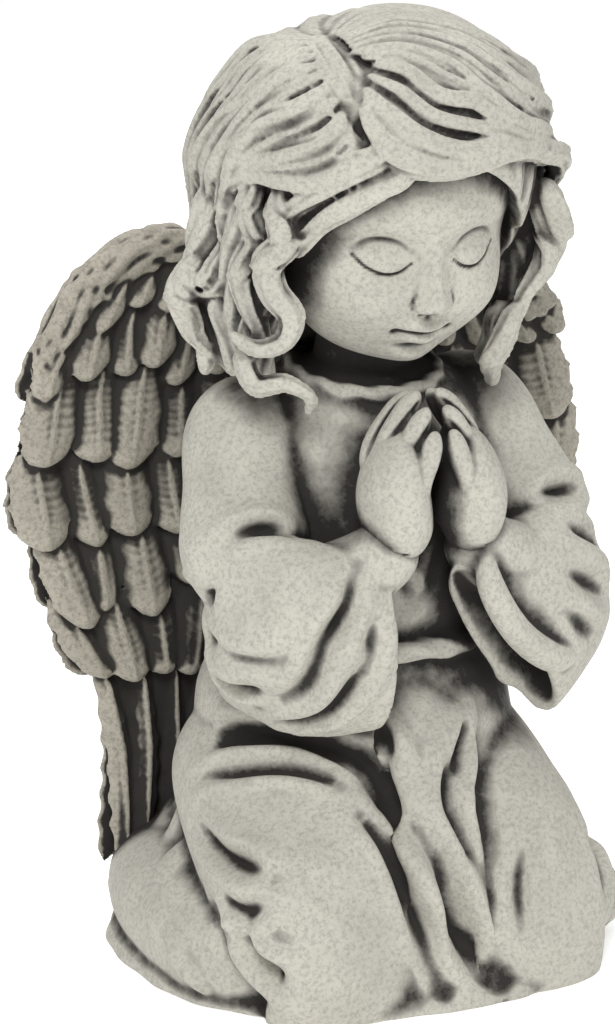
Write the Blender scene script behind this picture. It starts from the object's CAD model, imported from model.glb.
import math

import bpy
import numpy as np
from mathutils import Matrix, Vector


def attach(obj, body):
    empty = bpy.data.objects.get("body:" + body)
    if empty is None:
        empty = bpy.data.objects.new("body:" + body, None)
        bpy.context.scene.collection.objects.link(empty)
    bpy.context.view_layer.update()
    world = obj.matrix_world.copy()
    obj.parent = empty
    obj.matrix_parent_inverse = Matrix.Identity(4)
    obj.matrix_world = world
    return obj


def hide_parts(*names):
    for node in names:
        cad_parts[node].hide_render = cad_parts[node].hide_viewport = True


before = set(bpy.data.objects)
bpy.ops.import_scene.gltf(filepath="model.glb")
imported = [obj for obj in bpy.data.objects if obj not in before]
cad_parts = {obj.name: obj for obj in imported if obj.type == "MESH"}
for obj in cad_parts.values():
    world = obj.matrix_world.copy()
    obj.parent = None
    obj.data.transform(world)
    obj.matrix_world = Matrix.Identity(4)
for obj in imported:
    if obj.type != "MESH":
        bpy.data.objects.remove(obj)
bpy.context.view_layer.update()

# ------------------------------------------------------------------------------------------
# The studio: a pale floor the statue stands on, soft lights round it, and the camera a little
# to the figure's right and above it.
bpy.ops.object.select_all(action="DESELECT")
bpy.ops.mesh.primitive_plane_add(size=9, location=(0, 0, -0.0004))
floor = bpy.context.object
floor.name = "studio_floor"
floor_paint = bpy.data.materials.new("pale_floor")
floor_paint.use_nodes = True
floor_shader = floor_paint.node_tree.nodes["Principled BSDF"]
floor_shader.inputs["Base Color"].default_value = (0.93, 0.93, 0.92, 1)
floor_shader.inputs["Roughness"].default_value = 0.9
floor_shader.inputs["Emission Color"].default_value = (1, 1, 1, 1)
floor_shader.inputs["Emission Strength"].default_value = 0.45
floor.data.materials.append(floor_paint)

SKY = bpy.data.worlds.new("studio_sky")
SKY.use_nodes = True
SKY.node_tree.nodes["Background"].inputs["Color"].default_value = (1, 1, 1, 1)
SKY.node_tree.nodes["Background"].inputs["Strength"].default_value = 0.4
bpy.context.scene.world = SKY
bpy.context.scene.view_settings.view_transform = "Standard"

AIM = Vector((-0.0225, 0, 0.188))
# name, place round the statue, width of the soft box, power in watts
LAMPS = [
    ("key_light", (-1.1, -1.7, 2.1), 0.9, 44),
    ("fill_light", (1.9, -1.4, 0.8), 1.6, 7),
    ("top_light", (0.2, 0.7, 2.2), 1.4, 24),
]
for name, place, width, power in LAMPS:
    bpy.ops.object.light_add(type="AREA", location=place)
    lamp = bpy.context.object
    lamp.name = name
    lamp.data.size = width
    lamp.data.energy = power
    lamp.rotation_euler = (AIM - Vector(place)).to_track_quat("-Z", "Y").to_euler()

AZIMUTH = math.radians(-25)
ELEVATION = math.radians(16)
DISTANCE = 1.8
towards = Vector((
    math.sin(AZIMUTH) * math.cos(ELEVATION),
    -math.cos(AZIMUTH) * math.cos(ELEVATION),
    math.sin(ELEVATION),
))
bpy.ops.object.camera_add(location=AIM + DISTANCE * towards)
camera = bpy.context.object
camera.name = "studio_camera"
camera.rotation_euler = (-towards).to_track_quat("-Z", "Y").to_euler()
camera.data.sensor_fit = "VERTICAL"
camera.data.sensor_height = 36
camera.data.lens = 153.1
bpy.context.scene.camera = camera

# ------------------------------------------------------------------------------------------
# The base: a low oval slab of the same cast stone, cut flat underneath, its rim left rough.
MM = 0.001
UP = np.array([0, 0, 1.0])
FORE = np.array([0, -1.0, 0])
BASE = {"half_width": 106, "half_depth": 101, "rim": 13, "corners": 0.92, "bulge": 0.3}
templates = {}
figure = []


def deselect():
    bpy.ops.object.select_all(action="DESELECT")


def skin(around, along, place):
    """A closed skin drawn out from a ball: place(t, turn) gives each point in millimetres."""
    if (around, along) not in templates:
        deselect()
        bpy.ops.mesh.primitive_uv_sphere_add(segments=around, ring_count=along, radius=1)
        templates[around, along] = bpy.context.object
    form = templates[around, along].copy()
    form.data = form.data.copy()
    bpy.context.collection.objects.link(form)
    flat = np.empty(3 * len(form.data.vertices))
    form.data.vertices.foreach_get("co", flat)
    x, y, z = flat.reshape(-1, 3).T
    at = place(np.arccos(np.clip(z, -1, 1)) / math.pi, np.arctan2(y, x))
    form.data.vertices.foreach_set("co", (np.stack(at, axis=-1) * MM).ravel())
    return form


def spline(rows):
    """A smooth curve through rows of numbers, read at t from 0 to 1."""
    p = np.array(rows, float)
    p = np.vstack([2 * p[0] - p[1], p, 2 * p[-1] - p[-2]])

    def at(t):
        s = np.clip(t, 0, 1) * (len(p) - 3)
        i = np.minimum(s.astype(int), len(p) - 4)
        w = (s - i)[:, None]
        a, b, c, d = p[i], p[i + 1], p[i + 2], p[i + 3]
        square = (2 * a - 5 * b + 4 * c - d) * w**2
        cube = (3 * b - a - 3 * c + d) * w**3
        return 0.5 * (2 * b + (c - a) * w + square + cube)

    return at


def opening(t, end):
    """How far a round end has opened, where each end takes the share `end` of the length."""
    inside = np.minimum(1, np.minimum(t, 1 - t) / end)
    return np.sqrt(np.maximum(0, 1 - (1 - inside) ** 2))


def limb(rows, around=32, along=48, end=0.3, up=UP, carve=None):
    """A round-ended limb along rows of x, y, z, half width, half depth."""
    rows = np.array(rows, float)
    path = spline(rows[:, :3])
    girth = spline(rows[:, 3:5])

    def place(t, turn):
        ahead = path(t + 1e-3) - path(t - 1e-3)
        ahead[t > 0.999] = path(t[t > 0.999]) - path(t[t > 0.999] - 2e-3)
        ahead[t < 0.001] = path(t[t < 0.001] + 2e-3) - path(t[t < 0.001])
        side = np.cross(ahead, up)
        side /= np.linalg.norm(side, axis=1)[:, None] + 1e-12
        rise = np.cross(side, ahead)
        rise /= np.linalg.norm(rise, axis=1)[:, None] + 1e-12
        size = girth(t)
        lift = carve(t, turn) if carve else 0
        across = (size[:, 0] + lift) * opening(t, end) * np.cos(turn)
        out = (size[:, 1] + lift) * opening(t, end) * np.sin(turn)
        return (path(t) + side * across[:, None] + rise * out[:, None]).T

    return skin(around, along, place)


def stack(rows, around, along, end, flute):
    """An upright stack of ovals: rows of height, half width, front, back."""
    at = spline(rows)

    def inside(t, turn):
        height, half_width, front, back = at(t).T
        opened = opening(t, end)
        out = flute(t, turn)
        across = (half_width + out) * opened * np.cos(turn)
        deep = (front + back) / 2 + ((back - front) / 2 + out) * opened * np.sin(turn)
        return across, deep, height

    return skin(around, along, inside)


def loft(rows, around, along):
    """A skin through ovals, each row a centre and the two half-extents of its oval as vectors."""
    at = spline(rows)

    def place(t, turn):
        row = at(t)
        closing = opening(t, 0.06)[:, None]
        ring = row[:, 3:6] * np.cos(turn)[:, None] + row[:, 6:9] * np.sin(turn)[:, None]
        return (row[:, :3] + ring * closing).T

    return skin(around, along, place)


def on_side(side, rows):
    """The same rows on the figure's right (-1) or left (+1)."""
    return [[row[0] * side, *row[1:]] for row in rows]


def oval_slab(t, turn):
    """The base's skin, a squarish oval with a slightly uneven rim."""
    opened = np.sin(math.pi * t) ** BASE["bulge"]
    rough = 1 + 0.006 * np.sin(9 * turn + 1) + 0.005 * np.sin(23 * turn)
    across = np.sign(np.cos(turn)) * np.abs(np.cos(turn)) ** BASE["corners"]
    deep = np.sign(np.sin(turn)) * np.abs(np.sin(turn)) ** BASE["corners"]
    return (
        (BASE["half_width"] - 1) * opened * across * rough,
        (BASE["half_depth"] - 1) * opened * deep * rough,
        BASE["rim"] * np.cos(math.pi * t),
    )


figure.append(skin(128, 24, oval_slab))

# ------------------------------------------------------------------------------------------
# The robe: one long gown from collar to hem, drawn over the kneeling thighs, hanging between
# them in front and trailing over the lower legs to the rim in lobes of cloth.
# Rows of z, half width, front, back. The other forms are rows of x, y, z, half width, half
# depth, with one side of what is paired.
GOWN = [
    [256, 20, -27, 20],
    [244, 42, -34, 34],
    [226, 56, -42, 45],
    [190, 58, -50, 54],
    [158, 54, -50, 58],
    [134, 55, -46, 59],
    [112, 66, -54, 63],
    [84, 69, -66, 68],
    [52, 78, -78, 76],
    [24, 92, -88, 90],
    [-10, 98, -95, 96],
]
RIGHT_THIGH = [
    [-24, 46, 84, 34, 34],
    [-36, 8, 76, 42, 38],
    [-44, -38, 58, 44, 40],
    [-40, -64, 38, 47, 32],
    [-36, -75, 8, 44, 23],
    [-36, -78, -30, 40, 18],
]
LEFT_THIGH = [
    [24, 46, 84, 34, 34],
    [34, 8, 76, 41, 38],
    [41, -36, 58, 36, 38],
    [43, -62, 36, 35, 32],
    [42, -75, 8, 35, 22],
    [42, -79, -30, 32, 18],
]
LAP = [
    [2, -38, 128, 16, 10],
    [6, -50, 104, 24, 12],
    [12, -60, 74, 34, 12],
    [18, -71, 38, 46, 13],
    [20, -80, 4, 54, 13],
    [20, -84, -26, 54, 13],
]
TRAIN = [
    [60, -78, 14, 24, 18],
    [66, -36, 18, 36, 28],
    [62, 16, 20, 40, 30],
    [48, 60, 18, 36, 26],
    [34, 94, 12, 26, 16],
]
LOBES = [
    [[40, 66, 42, 14, 9], [62, 62, 28, 16, 9], [75, 54, 17, 16, 8], [84, 45, 5, 14, 6]],
    [[46, 46, 58, 14, 9], [60, 36, 46, 16, 9], [76, 24, 30, 18, 9], [94, 14, 6, 16, 7]],
    [[62, 0, 54, 14, 9], [80, -8, 40, 16, 9], [90, -15, 24, 16, 9], [97, -20, 5, 15, 7]],
    [[74, -30, 42, 13, 8], [86, -36, 31, 15, 9], [90, -44, 18, 15, 8], [86, -52, 4, 13, 6]],
]
BELT = {"height": 138, "half_width": 52, "centre": 6, "reach": 57, "half": 4.5}


def pleats(t, turn):
    """Upright pleats down the back of the gown, and the hem's cloth fanned out to the rim."""
    behind = np.clip(np.sin(turn), 0, 1) ** 2
    upright = 2.4 * behind * np.clip(2 * t - 0.5, 0, 1) * np.cos(11 * turn + 2 * np.sin(3 * t))
    hem = 4.5 * np.clip((t - 0.72) / 0.16, 0, 1) * np.cos(17 * turn + 1.2 * np.sin(5 * turn))
    return upright + hem


figure.append(stack(GOWN, 192, 160, 0.07, pleats))
figure.append(limb(RIGHT_THIGH, 64, 64, 0.2))
figure.append(limb(LEFT_THIGH, 64, 64, 0.2))
figure.append(limb(LAP, 64, 48, 0.2))
for side in (-1, 1):
    figure.append(limb(on_side(side, TRAIN), 48, 48, 0.25))
    for rows in LOBES:
        figure.append(limb(on_side(side, rows), 24, 32, 0.3))

COLLAR = {"height": 250, "half_width": 30, "front": -36, "back": 24, "roll": 3.2}
collar_middle = (COLLAR["front"] + COLLAR["back"]) / 2
collar_reach = (COLLAR["back"] - COLLAR["front"]) / 2
collar_rows = [
    [
        COLLAR["half_width"] * math.cos(a),
        collar_middle - collar_reach * math.sin(a),
        COLLAR["height"] - 5 * math.sin(a),
        COLLAR["roll"],
        COLLAR["roll"],
    ]
    for a in np.linspace(-0.5, 1.5, 33) * math.pi
]
figure.append(limb(collar_rows, 16, 128, 0.03, carve=lambda t, turn: 0.6 * np.cos(2 * turn + 90 * t)))

belt_angles = np.linspace(-0.1, 1.1, 25) * math.pi
belt_rows = [
    [
        BELT["half_width"] * math.cos(a),
        BELT["centre"] - BELT["reach"] * math.sin(a),
        BELT["height"] + 1.5 * math.sin(5 * a),
        BELT["half"],
        BELT["half"],
    ]
    for a in belt_angles
]
figure.append(limb(belt_rows, 16, 96, 0.05, carve=lambda t, turn: 0.7 * np.cos(3 * turn + 60 * t)))

# ------------------------------------------------------------------------------------------
# The arms: upper arms and wide bell sleeves of the robe, hollow at the mouth, with the small
# forearms rising out of them.
UPPER_ARM = [
    [26, 3, 238, 18, 15],
    [48, -1, 227, 26, 24],
    [57, -13, 205, 25, 27],
    [63, -30, 182, 26, 28],
    [60, -50, 162, 16, 20],
]
FOREARM = [
    [70, -34, 170, 13, 13],
    [46, -56, 174, 16, 16],
    [25, -68, 185, 14, 15],
    [13, -72, 200, 11, 13],
]
# Each sleeve as ovals: centre, half-extent one way, half-extent the other way. After the rim
# the rows run back inside, so the mouth is hollow.
RIGHT_SLEEVE = [
    [-64, -2, 194, -4, 0, -16, -10, -14, 4],
    [-72, -24, 168, -3, 4, -36, -10, -20, 4],
    [-64, -43, 158, 0, 4, -40, -7, -24, 4],
    [-46, -60, 154, 2, 3, -41, -2, -22, 2],
    [-25, -68, 152, 2, 2, -38, 3, -15, 0],
    [-28, -67, 152, 2, 2, -33, 2, -10, 0],
    [-42, -60, 154, 1, 2, -24, 0, -6, 0],
]
LEFT_SLEEVE = [
    [64, -2, 194, 4, 0, -16, 10, -14, 4],
    [76, -22, 170, 12, 4, -28, 12, -20, 8],
    [70, -40, 158, 20, 8, -34, 12, -22, 10],
    [52, -54, 150, 26, 9, -36, 10, -19, 10],
    [36, -65, 144, 27, 9, -37, 7, -11, 5.5],
    [39, -62, 145, 23, 7, -32, 4.5, -7, 3.5],
    [52, -52, 152, 14, 5, -20, 3, -5, 2],
]
LEFT_CUFF = [
    [18, -79, 190, 4, 5],
    [20, -85, 172, 5.5, 6],
    [33, -83, 152, 6, 6.5],
    [54, -73, 136, 6.5, 6.5],
    [74, -54, 132, 5, 5],
]

for side in (-1, 1):
    figure.append(limb(on_side(side, UPPER_ARM), 48, 48, 0.28))
    figure.append(limb(on_side(side, FOREARM), 40, 32, 0.25))
figure.append(loft(RIGHT_SLEEVE, 96, 128))
figure.append(loft(LEFT_SLEEVE, 96, 128))
figure.append(limb(LEFT_CUFF, 24, 48, 0.2))
NECK = [[0, 2, 228, 24, 22], [0, -6, 258, 20, 20], [0, -16, 290, 20, 20]]
figure.append(limb(NECK, 32, 16))

# The forms of a piece are run together into one skin, softened as the mould leaves them, and
# then creased. A draft of the scene takes coarser voxels.
GRAIN = 1.0


def run_together(forms, name, voxel, rounds=3):
    """Makes one closed skin round all the forms and smooths it a few rounds."""
    deselect()
    for form in forms:
        form.select_set(True)
    bpy.context.view_layer.objects.active = forms[0]
    bpy.ops.object.join()
    piece = bpy.context.object
    piece.name = name
    piece.data.name = name
    bpy.ops.object.modifier_add(type="REMESH")
    piece.modifiers[-1].mode = "VOXEL"
    piece.modifiers[-1].voxel_size = voxel * MM
    bpy.ops.object.modifier_apply(modifier=piece.modifiers[-1].name)
    bpy.ops.object.modifier_add(type="SMOOTH")
    piece.modifiers[-1].factor = 0.5
    piece.modifiers[-1].iterations = rounds
    bpy.ops.object.modifier_apply(modifier=piece.modifiers[-1].name)
    return piece


def points_of(piece):
    """The piece's points in millimetres."""
    flat = np.empty(3 * len(piece.data.vertices))
    piece.data.vertices.foreach_get("co", flat)
    return flat.reshape(-1, 3) / MM


def normals_of(piece):
    flat = np.empty(3 * len(piece.data.vertices))
    piece.data.vertices.foreach_get("normal", flat)
    return flat.reshape(-1, 3)


def set_points(piece, co):
    piece.data.vertices.foreach_set("co", (co * MM).ravel())
    piece.data.update()


def fold(co, path, half, depth, shoulder):
    """How far each point moves along its normal for one fold: a valley with rolled shoulders."""
    line = spline(path)(np.linspace(0, 1, 80))
    margin = 3.5 * half
    near = np.where(np.all((co > line.min(0) - margin) & (co < line.max(0) + margin), axis=1))[0]
    push = np.zeros(len(co))
    if not len(near):
        return push
    for block in np.array_split(near, max(1, len(near) // 20000)):
        away = np.sqrt(((co[block][:, None] - line[None]) ** 2).sum(-1))
        k = away.argmin(1)
        d = away.min(1)
        fade = np.sin(math.pi * np.clip(k / 79, 0.02, 0.98)) ** 0.6
        rolled = shoulder * np.exp(-(((d - 2 * half) / half) ** 2))
        push[block] = fade * depth * (rolled - np.exp(-((d / half) ** 2)))
    return push


def press(piece, folds):
    """Presses folds or grooves into a piece."""
    co, normals = points_of(piece), normals_of(piece)
    push = sum(fold(co, *row) for row in folds)
    co += normals * push[:, None]
    co[:, 2] = np.maximum(co[:, 2], 0)
    set_points(piece, co)


# Each fold of the robe and its sleeves: its path, half width, depth and how far its shoulders roll up.
CLOTH_FOLDS = [
    ([[-88, -22, 158], [-80, -40, 152], [-72, -58, 150], [-60, -70, 152]], 3.4, 5, 0.5),
    ([[-86, -26, 140], [-74, -48, 134], [-62, -62, 138]], 3.2, 5, 0.5),
    ([[-60, -54, 116], [-46, -72, 128], [-40, -82, 146]], 3.2, 5, 0.5),
    ([[-76, 6, 112], [-70, -18, 116], [-56, -38, 116]], 3.6, 6, 0.4),
    ([[-70, -78, 62], [-62, -88, 44], [-44, -98, 28]], 3.4, 4, 0.5),
    ([[36, -86, 64], [30, -92, 44], [30, -98, 22]], 3.4, 4, 0.5),
    ([[70, -66, 60], [72, -72, 40], [66, -84, 20]], 4, 5, 0.45),
    ([[30, -56, 118], [18, -60, 100], [14, -70, 84]], 3, 5, 0.5),
    ([[-20, -56, 128], [-16, -60, 108], [-10, -68, 90]], 3, 5, 0.5),
    ([[-23, -60, 95], [-11, -75, 70], [-2, -84, 52], [8, -92, 24], [20, -98, 8]], 5.5, 12, 0.4),
    (
        [
            [-31, -72, 80], [-25, -78, 70], [-20, -87, 51], [-15, -93, 36], [-11, -97, 20],
            [-6, -99, 8],
        ],
        3.8, 8, 0.4,
    ),
    ([[54, -46, 112], [27, -62, 111], [13, -70, 96], [6, -76, 81], [8, -84, 62]], 5, 9, 0.4),
    ([[19, -68, 101], [11, -76, 86], [12, -84, 62], [18, -92, 40]], 4, 6, 0.4),
    (
        [
            [-68, -10, 95], [-65, -20, 104], [-51, -42, 108], [-37, -52, 104], [-23, -60, 97],
            [-13, -66, 84],
        ],
        4.5, 8, 0.35,
    ),
    ([[-78, -14, 84], [-70, -34, 92], [-52, -50, 96], [-36, -60, 92]], 3.6, 5, 0.5),
    ([[-84, -26, 70], [-87, -50, 66], [-80, -66, 64], [-70, -76, 60]], 4, 7, 0.45),
    ([[-92, -60, 50], [-86, -70, 48], [-72, -84, 50]], 3.6, 5, 0.45),
    ([[-91, -50, 42], [-91, -70, 36], [-85, -84, 28], [-70, -96, 26]], 4, 8, 0.45),
    ([[-74, -78, 58], [-84, -76, 40], [-80, -88, 24], [-60, -98, 16]], 4, 6, 0.4),
    ([[84, -8, 74], [84, -36, 62], [78, -62, 44]], 5, 7, 0.4),
    ([[92, -20, 44], [90, -44, 34], [82, -66, 22]], 4, 6, 0.4),
    ([[-84, -24, 184], [-82, -30, 184], [-72, -46, 197], [-52, -58, 201]], 3.6, 8, 0.4),
    ([[-84, -36, 168], [-77, -42, 176], [-66, -54, 192]], 3, 5, 0.5),
    ([[-82, -30, 150], [-73, -44, 146], [-63, -60, 160], [-54, -70, 180]], 4, 8, 0.45),
    ([[-66, -50, 128], [-56, -70, 140], [-51, -78, 159], [-44, -84, 172], [-38, -82, 190]], 3.8, 8, 0.45),
    ([[-48, -74, 122], [-36, -86, 144], [-32, -86, 166]], 4, 5, 0.5),
    ([[84, -24, 190], [74, -46, 198], [56, -56, 202]], 3.6, 8, 0.4),
    ([[86, -48, 172], [80, -56, 180], [66, -66, 192]], 4, 4.5, 0.4),
    ([[88, -52, 152], [76, -66, 162], [60, -78, 174]], 4.5, 4.5, 0.4),
    ([[78, -60, 138], [70, -70, 146], [60, -78, 156]], 4, 3, 0.4),
    ([[-46, -34, 244], [-40, -42, 232], [-39, -46, 219], [-46, -50, 208]], 3.2, 9, 0.3),
    ([[46, -34, 244], [40, -42, 232], [39, -46, 219], [46, -50, 208]], 3.2, 9, 0.3),
    ([[-30, -36, 246], [-8, -48, 234], [16, -48, 236], [34, -36, 246]], 3, 3, 0.5),
    ([[-26, -50, 200], [-10, -54, 178], [2, -54, 160]], 3.4, 4, 0.5),
    ([[30, -50, 204], [16, -54, 184], [8, -54, 162]], 3.4, 4, 0.5),
]
robed_figure = run_together(figure, "robed_figure", 1.2 * GRAIN, rounds=12)
press(robed_figure, CLOTH_FOLDS)

# ------------------------------------------------------------------------------------------
# The praying hands: chubby palms set side by side, four fingers each, bent in to meet, in
# the same stone as the rest.
PALM = [
    [11, -70, 186, 8, 11],
    [15, -71, 197, 13, 17],
    [17, -69, 212, 14, 19],
    [15, -67, 228, 10, 16],
    [10, -67, 240, 6, 11],
]
hands = []
THUMB = [[13, -56, 200, 7, 7], [10, -48, 214, 6, 6], [5, -46, 228, 5, 5]]
# Index to little finger: y, tip height, half thickness, knuckle x.
FINGERS = [
    [-57, 251, 5, 20],
    [-65, 253, 5, 18.5],
    [-73, 248, 4.8, 15.5],
    [-80, 240, 4.6, 10.5],
]
FINGER = {"root": 36, "knuckle": 22, "joint": 10, "pad": 0.75}
for side in (-1, 1):
    hands.append(limb(on_side(side, PALM), 40, 32, up=FORE))
    hands.append(limb(on_side(side, THUMB), 24, 24, up=FORE))
    for y, tip, r, knuckle in FINGERS:
        rows = [
            [knuckle + 1, y, tip - FINGER["root"], r, r],
            [knuckle, y, tip - FINGER["knuckle"], r, r],
            [0.6 * knuckle, y, tip - FINGER["joint"], r, r],
            [FINGER["pad"] * r, y, tip, FINGER["pad"] * r, FINGER["pad"] * r],
        ]
        hands.append(limb(on_side(side, rows), 20, 32, 0.25, up=FORE))
praying_hands = run_together(hands, "praying_hands", 0.6 * GRAIN)

# Grooves between the fingers, round the wrists and between the palms, pressed as the folds are.
finger_gaps = []
for side in (-1, 1):
    for (y1, tip1, r1, k1), (y2, tip2, r2, k2) in zip(FINGERS, FINGERS[1:]):
        y, k, low = (y1 + y2) / 2, (k1 + k2) / 2, min(tip1, tip2)
        path = [
            [side * (k + 5), y, low - 30],
            [side * (k + 5), y, low - 20],
            [side * (0.6 * k + 4), y, low - 8],
            [side * 4, y, low + 2],
        ]
        finger_gaps.append((path, 1.2, 2.6, 0))
WRIST = [[2, -84, 190], [12, -88, 189], [22, -80, 192], [28, -68, 196]]
wrists = [(on_side(side, WRIST), 1.0, 1.4, 0) for side in (-1, 1)]
between_palms = [([[0, -90, 188], [0, -88, 215], [0, -86, 240]], 2.2, 4, 0)]
press(praying_hands, finger_gaps + wrists + between_palms)

# ------------------------------------------------------------------------------------------
# The head: a round child's head bent forward with its eyes closed, a skull and a jaw run
# together, with the features standing out of them.
HEAD = {"centre": np.array([0, -21, 327.0]), "nod": math.radians(20)}
SKULL = {"centre": [0, -6, 10], "radii": [54, 58, 50]}
JAW = {"centre": [0, 14, -21], "radii": [45, 42, 43]}
BLEND = 3
# What stands forward of the face or sinks in: x, u, half width, half height, forwards. First
# brow, nose, lips and chin, then the sockets, lids, nostrils, cheeks and mouth corners.
MIDDLE = [
    [0, 14, 36, 12, 1.5],
    [0, -6, 4.4, 11, 5],
    [0, -17.5, 5.6, 5.2, 9],
    [0, -26, 2, 3, -1.2],
    [0, -31.5, 8.5, 2.5, 4.4],
    [0, -38, 7, 3, 5],
    [0, -43.5, 9, 2.6, -2.4],
    [0, -51.5, 12, 7, 6],
]
PAIRED = [
    [19, 0, 12.5, 8.5, -6.5],
    [19, -2.6, 9.5, 6, 6.6],
    [5.8, -20, 3.2, 3.2, 4.2],
    [3.2, -24.6, 1.6, 1.3, -3.4],
    [28, -23, 16, 14, 6],
    [11.5, -34.5, 2.8, 2.6, -2.4],
]
features = MIDDLE + [row for side in (-1, 1) for row in on_side(side, PAIRED)]


def in_head(x, f, u):
    """A point of the head's own frame (x to its left, f forwards, u upwards) in the figure's."""
    cx, cy, cz = HEAD["centre"]
    c, s = math.cos(HEAD["nod"]), math.sin(HEAD["nod"])
    return cx + x, cy - f * c - u * s, cz - f * s + u * c


def reach_to(ellipsoid, direction):
    """Distance from the head's centre to an ellipsoid's skin along each direction."""
    d = direction / np.array(ellipsoid["radii"])
    p = np.array(ellipsoid["centre"]) / np.array(ellipsoid["radii"])
    square = (d * d).sum(-1)
    slope = (d * p).sum(-1)
    spare = slope**2 - square * ((p * p).sum() - 1)
    return np.where(spare < 0, 0, (slope + np.sqrt(np.maximum(spare, 0))) / square)


def child_head(t, turn):
    """The head's skin: the skull and the jaw blended, plus the features on its front."""
    fall = math.pi * t
    level = np.sin(fall)
    direction = np.stack([level * np.cos(turn), level * np.sin(turn), np.cos(fall)], axis=-1)
    skull = reach_to(SKULL, direction)
    jaw = reach_to(JAW, direction)
    reach = BLEND * np.log(np.exp(skull / BLEND) + np.exp(jaw / BLEND))
    x, f, u = (direction * reach[:, None]).T
    relief = sum(
        rise * np.exp(-(((x - middle) / half_width) ** 2) - ((u - level) / half_height) ** 2)
        for middle, level, half_width, half_height, rise in features
    )
    return in_head(x, f + np.where(f > 0, relief, 0), u)


bowed_head = skin(320, 240, child_head)
bowed_head.name = bowed_head.data.name = "bowed_head"
bowed_head.data.flip_normals()

# Fine lines of the face, pressed straight back into it: x and u along each, half width, depth.
LIPS = ([[0, -34.8], [5, -34.2], [11, -34.6]], 1.0, 2.2)
LASHES = ([[9.5, -4], [14, -7.2], [20, -8.4], [26, -6.8], [30.5, -3.4]], 1.0, 2.4)
LID = ([[9.5, 0.5], [14, 3.8], [20, 5], [26, 3.4], [30.5, -1]], 1.4, 0.9)
NOSTRIL = ([[7.6, -15.5], [9, -19.5], [7.4, -23.4]], 0.9, 1.2)
co = points_of(bowed_head)
away_from_middle = co - HEAD["centre"]
cosine, sine = math.cos(HEAD["nod"]), math.sin(HEAD["nod"])
head_x = away_from_middle[:, 0]
head_f = -away_from_middle[:, 1] * cosine - away_from_middle[:, 2] * sine
head_u = -away_from_middle[:, 1] * sine + away_from_middle[:, 2] * cosine
push = np.zeros(len(co))
for side in (-1, 1):
    for path, half, depth in (LIPS, LASHES, LID, NOSTRIL):
        line = spline(on_side(side, path))(np.linspace(0, 1, 60))
        beside = np.abs(head_x - line[:, 0].mean()) < 16
        level = np.abs(head_u - line[:, 1].mean()) < 12
        near = np.where((head_f > 10) & beside & level)[0]
        away = np.sqrt((head_x[near, None] - line[:, 0]) ** 2 + (head_u[near, None] - line[:, 1]) ** 2)
        k, d = away.argmin(1), away.min(1)
        fade = np.sin(math.pi * np.clip(k / 59, 0.05, 0.95)) ** 0.5
        push[near] -= fade * depth * np.exp(-((d / half) ** 2))
forwards = np.stack(in_head(np.zeros(1), np.ones(1), np.zeros(1)), axis=-1)[0] - HEAD["centre"]
co += push[:, None] * forwards
set_points(bowed_head, co)

# ------------------------------------------------------------------------------------------
# The hair: a full head of wavy hair parted on the figure's right, swept over the brow, with
# curls beside the face and long locks down the back. Rows of u, half width, front, back.
HAIR = [
    [68, 22, -20, 32],
    [60, 40, -34, 46],
    [44, 54, -48, 60],
    [24, 60, -54, 67],
    [4, 61, -55, 68],
    [-16, 61, -46, 67],
    [-36, 60, -28, 64],
    [-54, 57, -6, 58],
    [-72, 52, 6, 50],
    [-90, 42, 12, 38],
]
# Locks as points of the head's frame: from the parting over the brow to the left temple and
# down, from the parting to the right, then the curls, each with its half width.
SWEPT = [
    (
        [
            [-30, 27, 58], [-27, 40, 50], [-21, 49, 43], [-6, 54, 41], [12, 52, 41], [27, 48, 41],
            [44, 38, 33], [57, 28, 21],
        ],
        5,
    ),
    (
        [
            [-28, 23, 62], [-20, 37, 56], [-10, 47, 50], [4, 50, 46], [21, 46, 46], [34, 44, 40],
            [50, 33, 34], [62, 22, 18],
        ],
        5.5,
    ),
    (
        [
            [-22, 14, 68], [-9, 23, 68], [0, 35, 62], [12, 37, 59], [25, 40, 51], [42, 36, 42],
            [57, 24, 30], [66, 12, 8],
        ],
        5.5,
    ),
    (
        [
            [-27, 4, 69], [-8, 9, 73], [9, 21, 69], [20, 33, 60], [32, 37, 50], [48, 30, 40],
            [62, 14, 24], [68, 4, 0],
        ],
        6,
    ),
    (
        [
            [-26, -3, 70], [-3, -3, 75], [19, 9, 71], [36, 22, 59], [50, 20, 46], [62, 6, 32],
            [69, -6, 8], [68, -10, -16],
        ],
        6.5,
    ),
    (
        [
            [-26, -8, 70], [0, -14, 75], [26, -6, 70], [46, 2, 56], [60, -4, 38], [69, -16, 12],
            [67, -20, -18],
        ],
        7,
    ),
    (
        [
            [-26, -14, 68], [0, -30, 70], [28, -30, 64], [50, -26, 46], [63, -26, 22],
            [66, -30, -6], [62, -30, -36],
        ],
        7,
    ),
    ([[-36, 34, 49], [-40, 40, 38], [-49, 35, 29], [-57, 26, 24], [-64, 13, 18], [-68, 4, 6]], 5),
    ([[-37, 27, 54], [-45, 30, 43], [-55, 23, 34], [-64, 9, 21], [-69, -2, 6]], 5.5),
    ([[-37, 15, 61], [-50, 15, 49], [-60, 7, 38], [-66, 3, 25], [-68, 2, 6], [-66, -2, -12]], 6),
    ([[-37, 4, 64], [-52, -2, 52], [-63, -4, 34], [-68, -7, 10], [-62, -14, -17], [-66, -12, -40]], 6.5),
    ([[-34, -7, 66], [-50, -16, 53], [-63, -14, 33], [-67, -24, 4], [-63, -22, -15], [-64, -26, -40]], 7),
    ([[-32, -14, 66], [-46, -34, 52], [-58, -36, 30], [-63, -38, 2], [-60, -36, -26], [-58, -34, -52]], 7),
]
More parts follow.
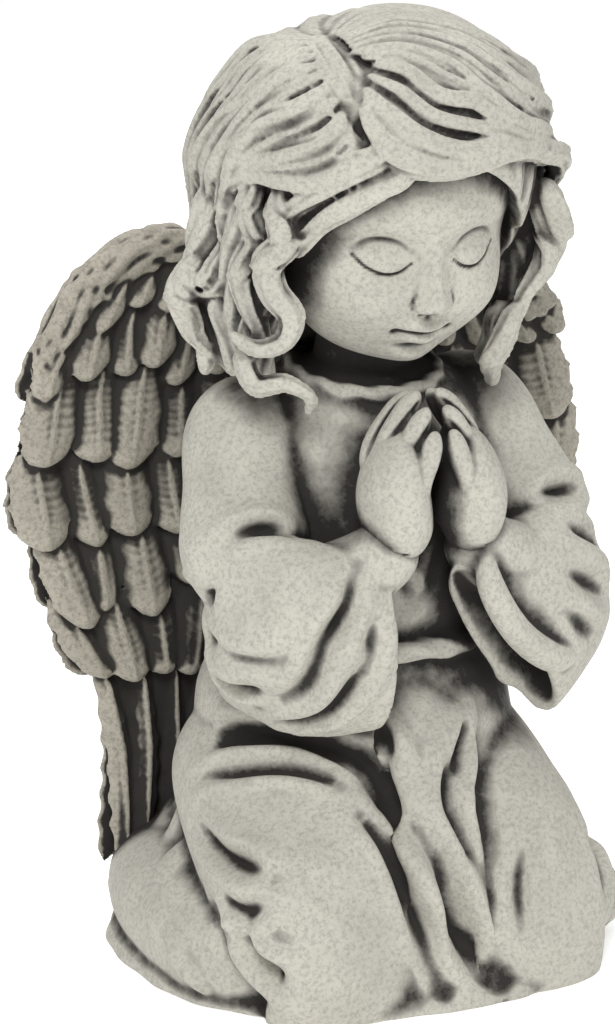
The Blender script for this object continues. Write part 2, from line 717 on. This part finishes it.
CURLS = [
    ([[-14, 51, 39], [-27, 48, 32], [-38, 44, 22], [-46, 38, 9], [-51, 33, -8]], 6.5),
    ([[-22, 46, 46], [-35, 43, 38], [-46, 37, 26], [-54, 30, 12], [-57, 27, -6]], 6),
    (
        [
            [-56, 22, 22], [-58, 28, 10], [-57, 34, 0], [-62, 32, -9], [-60, 37, -20],
            [-54, 44, -28], [-57, 46, -38], [-67, 43, -42], [-78, 38, -36],
        ],
        6.5,
    ),
    (
        [
            [-60, 12, 20], [-64, 14, 6], [-61, 20, -6], [-66, 20, -20], [-64, 26, -32],
            [-60, 34, -44], [-64, 34, -54],
        ],
        7,
    ),
    ([[-66, 34, -42], [-68, 37, -52], [-64, 43, -60], [-54, 48, -57], [-44, 53, -62], [-43, 50, -72]], 4),
    ([[-63, -2, 12], [-65, 0, -2], [-64, 4, -18], [-72, 4, -30], [-79, 8, -33]], 6),
    ([[-70, -6, -26], [-78, -4, -38], [-80, 0, -46], [-76, 4, -56], [-71, 8, -64], [-70, 10, -76]], 7),
    ([[-62, 2, -20], [-68, 6, -38], [-64, 12, -56], [-60, 16, -74]], 8),
    ([[-54, 26, -20], [-58, 26, -40], [-56, 26, -58], [-50, 28, -74]], 7),
    ([[44, 36, 33], [56, 31, 29], [65, 24, 22], [66, 22, 12], [58, 28, 8]], 5),
    ([[56, 29, 16], [60, 31, 4], [67, 28, -10], [65, 30, -24], [56, 34, -36], [52, 38, -48]], 7.5),
    ([[60, 16, 6], [68, 16, -10], [70, 14, -26], [64, 18, -42], [60, 22, -58], [52, 26, -74]], 8.5),
    ([[66, 2, -4], [72, 2, -22], [70, 2, -40], [62, 8, -58], [58, 12, -76]], 8.5),
    ([[52, 36, -38], [44, 44, -50], [38, 48, -58], [42, 44, -66], [48, 36, -78]], 4.5),
    ([[48, 34, -40], [50, 30, -56], [46, 26, -74]], 7),
]


def cut(form, tool):
    """Takes the tool's form out of the other and throws the tool away."""
    deselect()
    bpy.context.view_layer.objects.active = form
    form.select_set(True)
    bpy.ops.object.modifier_add(type="BOOLEAN")
    form.modifiers[-1].operation = "DIFFERENCE"
    form.modifiers[-1].object = tool
    bpy.ops.object.modifier_apply(modifier=form.modifiers[-1].name)
    bpy.data.objects.remove(tool)
    return form


def strands(t, turn):
    """Fine grooves that wind slowly along a lock."""
    return 0.7 * np.cos(6 * turn + 4 * t) + 0.5 * np.cos(13 * turn - 3 * t)


def lock(points, width, thick):
    """A lock of hair through points of the head's frame."""
    rows = []
    for i, point in enumerate(points):
        share = i / (len(points) - 1)
        full = 0.55 + 0.45 * math.sin(math.pi * min(1, 0.2 + share)) ** 0.7
        rows.append([*in_head(*point), width * full, thick * full])
    return limb(rows, 40, 12 * len(points), 0.18, carve=strands)


CROWN = (-28, -4, 66)


def hair_mass(t, turn):
    """The hair under the locks: its strands radiate from the crown beside the parting."""
    height, half_width, front, back = spline(HAIR)(t).T
    opened = opening(t, 0.12)
    x = (half_width - 0.8) * opened * np.cos(turn)
    f = -(front + back) / 2 - ((back - front) / 2 - 0.8) * opened * np.sin(turn)
    dx, df = x - CROWN[0], f - CROWN[1]
    away = np.sqrt(dx**2 + df**2 + (height - CROWN[2]) ** 2)
    phi = np.arctan2(df, dx) + 0.13 * np.sin(away / 11)
    relief = 3.0 * np.abs(np.sin(10 * phi)) ** 0.8 + 0.9 * np.abs(np.sin(30 * phi + 1))
    lift = 2.4 + (relief - 2.4) * np.clip((np.hypot(dx, df) - 4) / 28, 0, 1)
    # Outwards from the middle of the hair, a little behind and above the head's centre.
    out = np.stack([x / 60, (f + 6) / 60, (height - 5) / 70], axis=-1)
    out /= np.linalg.norm(out, axis=1)[:, None]
    return in_head(x + out[:, 0] * lift, f + out[:, 1] * lift, height + out[:, 2] * lift)


# The opening for the face, cut out of the front.
window = [[*in_head(0, f, -24), 50, 62] for f in (66, 44, 10)]
CUSHIONS = [
    ([[-56, 4, 14], [-59, 10, -14], [-59, 16, -42], [-55, 20, -68]], 13),
    ([[-62, -18, 0], [-66, -10, -30], [-64, -2, -62]], 12),
    ([[58, 4, 14], [62, 10, -14], [60, 16, -42], [54, 20, -70]], 13),
    ([[62, -18, 0], [66, -10, -30], [62, -2, -62]], 12),
]
hair = []
cap = skin(512, 256, hair_mass)
cap.data.flip_normals()
hair.append(cut(cap, limb(window, 48, 24, 0.15)))
for points, width in CUSHIONS:
    hair.append(lock(points, width, 0.9 * width))
for points, width in SWEPT:
    hair.append(lock(points, 1.3 * width, 4.8))
# Between two neighbours on one side of the parting, a flatter lock fills the gap.
for (first, width), (second, _) in zip(SWEPT, SWEPT[1:]):
    if first[-1][0] * second[-1][0] > 0:
        steps = np.linspace(0, 1, 8)
        between = (spline(first)(steps) + spline(second)(steps)) / 2
        hair.append(lock([point * 1.01 for point in between], 1.05 * width, 4))
PARTING = [[-32, 28, 53], [-32, 12, 62], [-31, -6, 65], [-30, -20, 65]]
hair.append(lock(PARTING, 9, 5))
for points, width in CURLS:
    hair.append(lock(points, 1.12 * width, min(width, 6)))
wavy_hair = run_together(hair, "wavy_hair", 0.9 * GRAIN)

# The locks pile up at the crown, so it is eased down to the statue's height.
CROWN_EASED = {"from": 366, "top": 399.5}
hair_points = points_of(wavy_hair)
over = np.maximum(hair_points[:, 2] - CROWN_EASED["from"], 0)
excess = max(0, hair_points[:, 2].max() - CROWN_EASED["top"])
hair_points[:, 2] -= excess * (over / over.max()) ** 2
set_points(wavy_hair, hair_points)

# ------------------------------------------------------------------------------------------
# The wings: two thick wings folded down behind the figure, each a slab covered on both faces
# by rows of round-tipped feathers, long ones at the foot, under a thick leading edge.
WING = {"mid": 66, "thick": 12, "cup": 9, "half_span": 129, "top": 297, "foot": 34}
# The outline, rows of z, inner x, outer x. Then the rows of feathers from the top down, each
# with the height of its tips and how many it has. How far a tip lifts off the wing follows.
OUTLINE = [
    [300, 46, 64], [292, 26, 84], [280, 14, 98], [260, 8, 113], [232, 6, 124], [202, 6, 129],
    [168, 8, 124], [135, 12, 112], [104, 18, 98], [75, 26, 90], [48, 32, 87], [22, 38, 86],
]
ROWS = [(262, 7), (234, 7), (200, 6), (167, 6), (135, 6), (103, 5), (24, 5)]
LIFT = 6.5
# Where the tip begins to round, the step of the barbs, the rise of the shaft and of the barbs,
# for the long flight feathers and for the short ones above them.
FLIGHT = (0.7, 4.4, 1.1, 0.35)
COVERT = (0.6, 3.4, 0.6, 0.14)
LEADING = [
    [36, 66, 284, 9, 9],
    [62, 64, 291, 10, 9],
    [90, 61, 280, 9, 9],
    [108, 58, 261, 8, 8],
    [119, 57, 238, 5, 6],
]
outline_z = np.array([row[0] for row in OUTLINE])[::-1]
outline_inner = np.array([row[1] for row in OUTLINE])[::-1]
outline_outer = np.array([row[2] for row in OUTLINE])[::-1]


def span_at(z):
    """The wing's inner and outer edge at a height."""
    return np.interp(z, outline_z, outline_inner), np.interp(z, outline_z, outline_outer)


def wing_mid(x):
    """The middle of the wing's thickness, which cups forwards to its outer edge."""
    return WING["mid"] - WING["cup"] * (x / WING["half_span"]) ** 2


def wing_slab(side):
    """The body of a wing under its feathers."""
    def place(t, turn):
        z = WING["top"] - (WING["top"] - WING["foot"]) * (1 - np.cos(math.pi * t)) / 2
        inner, outer = span_at(z)
        half = 0.9 * (outer - inner) / 2
        x = (inner + outer) / 2 + half * np.cos(turn) * np.sin(math.pi * t) ** 0.25
        y = wing_mid(x) + (WING["thick"] / 2 - 3.5) * np.sin(turn) * np.sin(math.pi * t) ** 0.3
        return side * x, y, z

    return skin(64, 96, place)


def feather(side, face, share, top, tip, width, lean, long, raised):
    """One feather along the wing's flow at `share` of its width, from z top to z tip."""
    length = top - tip
    blunt, barb_step, shaft_rise, barb_rise = FLIGHT if long else COVERT

    def place(t, turn):
        z = top + (tip - top) * t
        inner, outer = span_at(z)
        middle = inner + (outer - inner) * share + lean * t**2
        shape = np.where(
            t < blunt,
            0.7 + 0.3 * np.sin(math.pi / 2 * t / blunt),
            np.sqrt(np.maximum(0, 1 - ((t - blunt) / (1 - blunt)) ** 2)),
        )
        u = np.cos(turn)
        across = u * width / 2
        x = middle + shape * across
        ending = np.minimum(1, (1 - t) / 0.08)
        x = x + 0.8 * np.sin(length * t / 2 + 3 * share * u) * np.abs(u) ** 3 * shape
        crown = 2.8 * (1 - u**2) * ending * np.sign(np.sin(turn)) * np.minimum(1, t / 0.1)
        slant = length * t - (1.7 + 0.3 * share) * np.abs(across)
        barbs = np.cos(2 * math.pi * slant / barb_step + 2 * np.sin(9 * t + 20 * share))
        shaft = np.exp(-((across / 1.2) ** 2)) - 0.6 * np.exp(-(((np.abs(across) - 2.6) / 1.1) ** 2))
        carved = shaft_rise * shaft + barb_rise * barbs * (np.abs(across) > 1.5)
        relief = np.where(np.sin(turn) > 0, carved * (1 - u**2) ** 0.5, 0)
        relief *= np.minimum(1, (1 - t) / 0.12)
        out = raised + LIFT * t**1.4 + crown + relief - 2.2 * u**2
        y = wing_mid(x) + face * (WING["thick"] / 2 - 5 + out)
        return side * x, y, z

    return skin(48, 64, place)


def down(t, turn):
    """The small matted feathers along the leading edge."""
    broad = 0.9 * np.cos(5 * turn + 13 * t + 2 * np.sin(23 * t))
    return broad + 0.5 * np.cos(9 * turn - 31 * t + np.sin(17 * t))


seed = np.random.default_rng(7)
wings = {}
for side in (-1, 1):
    forms = [wing_slab(side), limb(on_side(side, LEADING), 40, 64, 0.2, carve=down)]
    for face in (-1, 1):
        above = 300
        for r, (tip, count) in enumerate(ROWS):
            for k in range(count):
                share = (k + 0.5 + 0.25 * (r % 2) - 0.12) / count
                inner, outer = span_at(tip + 8)
                width = (outer - inner) / count * seed.uniform(1.25, 1.5)
                jog, tilt = seed.uniform(-6, 6), seed.uniform(-4, 8)
                raised = 2.2 * (k % 2) + seed.uniform(-0.4, 0.8)
                low = tip + jog + 6 * (1 - share)
                long = r == len(ROWS) - 1
                top = min(292, above + 12)
                forms.append(feather(side, face, share, top, low, width, tilt, long, raised))
            above = tip
    wings[side] = forms

# ------------------------------------------------------------------------------------------
# A small rose with a fan of leaves on the left wing, beside the hair, cast with the wing.
ROSE = {"at": (106, 48, 262), "leaves": 5, "leaf": 17, "spread": 100}
rx, ry, rz = ROSE["at"]
bloom = [[rx, ry + 8, rz, 6, 6], [rx, ry - 4, rz, 6, 6]]
petals = lambda t, turn: 0.8 * np.cos(5 * turn + 7 * t)
wings[1].append(limb(bloom, 32, 16, carve=petals))
for i in range(ROSE["leaves"]):
    angle = math.radians(ROSE["spread"] * (i / (ROSE["leaves"] - 1) - 0.5))
    rows = [
        [rx + r * math.sin(angle), ry + 2, rz - r * math.cos(angle), 4, 3]
        for r in (3, 0.6 * ROSE["leaf"], ROSE["leaf"])
    ]
    wings[1].append(limb(rows, 24, 16, up=FORE))
right_wing = run_together(wings[-1], "right_wing", 0.9 * GRAIN, rounds=2)
left_wing = run_together(wings[1], "left_wing", 0.9 * GRAIN, rounds=2)
for template in templates.values():
    bpy.data.objects.remove(template)

# ------------------------------------------------------------------------------------------
# The finish: pale cast stone with a near-black wash left in every recess, thinner and
# mottled at their borders, and fine pores all over. The whole casting is washed at once,
# because what a hollow keeps also depends on the pieces beside it.
TRIANGLES = 195000


def wash_of(pieces):
    """The depth of wash at each point: how crowded by stone the space in front of it is."""
    clouds = {name: (points_of(piece), normals_of(piece)) for name, piece in pieces.items()}
    step = 2.0
    low = np.array([-150.0, -120.0, -20.0])
    cells = np.array([150, 125, 220])
    grid = np.zeros(cells)
    for name, (co, _) in clouds.items():
        polygons = pieces[name].data.polygons
        area = np.empty(len(polygons))
        polygons.foreach_get("area", area)
        weight = area.sum() / MM**2 / len(co)
        index = np.clip(((co - low) / step).astype(int), 0, cells - 1)
        np.add.at(grid, tuple(index.T), weight)
    steps = [np.fft.fftfreq(cells[0], step), np.fft.fftfreq(cells[1], step)]
    waves = np.meshgrid(*steps, np.fft.rfftfreq(cells[2], step), indexing="ij")
    square = sum(wave**2 for wave in waves)
    spectrum = np.fft.rfftn(grid)
    result = {name: [] for name in clouds}
    for sigma in (3.0, 6.5, 13.0):
        soft = np.fft.irfftn(spectrum * np.exp(-2 * (math.pi * sigma) ** 2 * square), s=cells)
        lift = 0.9 * sigma
        flat = step**3 * math.exp(-(0.9**2) / 2) / (sigma * math.sqrt(2 * math.pi))
        for name, (co, normals) in clouds.items():
            at = (co + normals * lift - low) / step - 0.5
            base = np.clip(np.floor(at).astype(int), 0, cells - 2)
            f = at - base
            value = 0
            for corner in np.ndindex(2, 2, 2):
                share = np.abs(1 - np.array(corner) - f).prod(1)
                value = value + share * soft[tuple((base + corner).T)]
            result[name].append(value / flat - 1)
    return result


def hollow_of(piece, rounds):
    """How far each point lies below the surface smoothed over its neighbours, in millimetres."""
    co = points_of(piece)
    edges = np.empty(2 * len(piece.data.edges), np.int32)
    piece.data.edges.foreach_get("vertices", edges)
    a, b = edges.reshape(-1, 2).T
    count = np.bincount(np.concatenate((a, b)), minlength=len(co))
    soft = co.copy()
    for _ in range(rounds):
        for k in range(3):
            total = np.bincount(a, soft[b, k], len(co))
            total += np.bincount(b, soft[a, k], len(co))
            soft[:, k] = 0.3 * soft[:, k] + 0.7 * total / count
    return ((soft - co) * normals_of(piece)).sum(1)


def grey(value):
    """A plain grey for a colour ramp."""
    return (value, value, value, 1)


def cast_stone(name, light, tint):
    """A cast stone: its pale colour, darker grit in it, the wash over both, and its pores."""
    stone = bpy.data.materials.new(name)
    stone.use_nodes = True
    nodes, links = stone.node_tree.nodes, stone.node_tree.links
    shader = nodes["Principled BSDF"]
    place = nodes.new("ShaderNodeTexCoord").outputs["Object"]

    def noise(scale, detail, roughness=0.6):
        node = nodes.new("ShaderNodeTexNoise")
        node.inputs["Scale"].default_value = scale
        node.inputs["Detail"].default_value = detail
        node.inputs["Roughness"].default_value = roughness
        links.new(place, node.inputs["Vector"])
        return node.outputs["Fac"]

    def maths(operation, a, b):
        node = nodes.new("ShaderNodeMath")
        node.operation = operation
        for socket, value in zip(node.inputs, (a, b)):
            if isinstance(value, (int, float)):
                socket.default_value = value
            else:
                links.new(value, socket)
        return node.outputs["Value"]

    def ramp(value, stops):
        node = nodes.new("ShaderNodeValToRGB")
        elements = node.color_ramp.elements
        elements[0].position, elements[0].color = stops[0]
        elements[1].position, elements[1].color = stops[-1]
        for position, colour in stops[1:-1]:
            element = elements.new(position)
            element.color = colour
        links.new(value, node.inputs["Fac"])
        return node.outputs["Color"]

    def mix(factor, a, b):
        node = nodes.new("ShaderNodeMix")
        node.data_type = "RGBA"
        links.new(factor, node.inputs["Factor"])
        for socket, value in ((node.inputs["A"], a), (node.inputs["B"], b)):
            if isinstance(value, tuple):
                socket.default_value = value
            else:
                links.new(value, socket)
        return node.outputs["Result"]

    attribute = nodes.new("ShaderNodeAttribute")
    attribute.attribute_name = "wash"
    wash = attribute.outputs["Fac"]
    clouds = noise(34, 5)
    fleck = noise(520, 4, 0.75)
    pores = noise(1500, 2)
    shaded = tuple(0.8 * c for c in light)
    body_colour = ramp(clouds, [(0.3, shaded + (1,)), (0.7, light + (1,))])
    specks = ramp(fleck, [(0.35, grey(0.55)), (0.55, grey(0))])
    body_colour = mix(specks, body_colour, tint + (1,))
    patches = noise(140, 4, 0.65)
    broken = maths("ADD", patches, maths("MULTIPLY", fleck, 0.8))
    mottled = maths("MULTIPLY", wash, maths("ADD", 0.1, broken))
    stains = maths("SUBTRACT", maths("MULTIPLY", patches, clouds), 0.3)
    mottled = maths("ADD", mottled, maths("MULTIPLY", stains, 0.5))
    depth = ramp(mottled, [(0.12, grey(0)), (0.4, grey(0.42)), (0.7, grey(0.8)), (1, grey(1))])
    colour = mix(depth, body_colour, (0.034, 0.031, 0.028, 1))
    links.new(colour, shader.inputs["Base Color"])
    shader.inputs["Roughness"].default_value = 0.88
    shader.inputs["Specular IOR Level"].default_value = 0.25
    bump = nodes.new("ShaderNodeBump")
    bump.inputs["Distance"].default_value = 0.0009
    bump.inputs["Strength"].default_value = 0.55
    height = maths("ADD", maths("MULTIPLY", fleck, 0.7), maths("MULTIPLY", pores, 0.3))
    links.new(height, bump.inputs["Height"])
    links.new(bump.outputs["Normal"], shader.inputs["Normal"])
    return stone


pale_stone = cast_stone("pale_cast_stone", (0.57, 0.55, 0.485), (0.24, 0.23, 0.205))
wing_stone = cast_stone("wing_cast_stone", (0.44, 0.41, 0.345), (0.13, 0.118, 0.1))
# The finish of each piece, how much wash the space round it holds and how much its own relief.
FINISH = {
    "robed_figure": (pale_stone, 1.0, 0.7, 0.3),
    "praying_hands": (pale_stone, 1.0, 0.9, 0.3),
    "bowed_head": (pale_stone, 0.9, 1.4, 0.3),
    "wavy_hair": (pale_stone, 0.7, 0.8, 0.3),
    "right_wing": (wing_stone, 1.4, 1.2, 1.5),
    "left_wing": (wing_stone, 1.4, 1.2, 1.5),
}
cast = {
    "robed_figure": robed_figure,
    "praying_hands": praying_hands,
    "wavy_hair": wavy_hair,
    "right_wing": right_wing,
    "left_wing": left_wing,
    "bowed_head": bowed_head,
}
washes = wash_of(cast)
for name, piece in cast.items():
    stone, strength, own, wide = FINISH[name]
    near, mid, far = washes[name]
    fine, broad = hollow_of(piece, 6), hollow_of(piece, 40)
    crowded = strength * (0.2 * near + 0.35 * mid + 0.3 * far)
    wash = crowded + own * np.clip(fine, -0.3, 1) + wide * np.clip(broad, -1, 2)
    layer = piece.data.attributes.new("wash", "FLOAT", "POINT")
    layer.data.foreach_set("value", np.clip(wash, 0, 2).astype(np.float32))
    triangles = 2 * len(piece.data.polygons)
    deselect()
    piece.select_set(True)
    bpy.context.view_layer.objects.active = piece
    if triangles > TRIANGLES:
        bpy.ops.object.modifier_add(type="DECIMATE")
        piece.modifiers[-1].ratio = TRIANGLES / triangles
        bpy.ops.object.modifier_apply(modifier=piece.modifiers[-1].name)
    bpy.ops.object.shade_smooth()
    piece.data.materials.clear()
    piece.data.materials.append(stone)
    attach(piece, "root")
    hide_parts("kneeling_angel")
